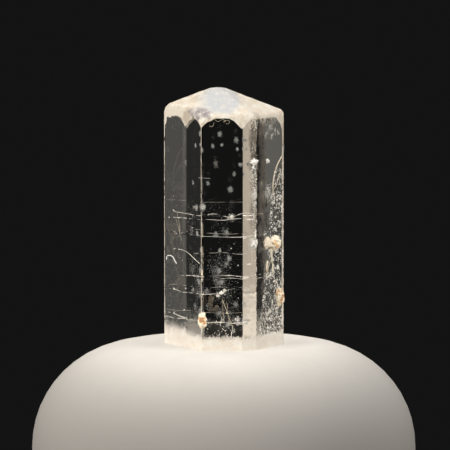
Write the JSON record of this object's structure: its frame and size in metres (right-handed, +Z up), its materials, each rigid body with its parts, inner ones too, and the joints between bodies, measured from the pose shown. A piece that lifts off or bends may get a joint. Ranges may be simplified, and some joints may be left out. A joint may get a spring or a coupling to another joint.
{
  "type": "phenakite crystal",
  "caption": "Clear prismatic mineral crystal with a low pyramid tip, standing upright on its flat broken foot, for display.",
  "frame": {"origin": "middle of the flat broken foot, where the crystal stands on a surface", "axes": "+Z up along the crystal's long axis, -Y towards the broad front face, +X to its right"},
  "size_m": [0.0046, 0.0053, 0.0099],
  "materials": {
    "clear_phenakite": "clear and colourless, polished natural prism faces, frosted tip and foot"
  },
  "bodies": {
    "root": {"crystal": "clear_phenakite"}
  },
  "joints": []
}
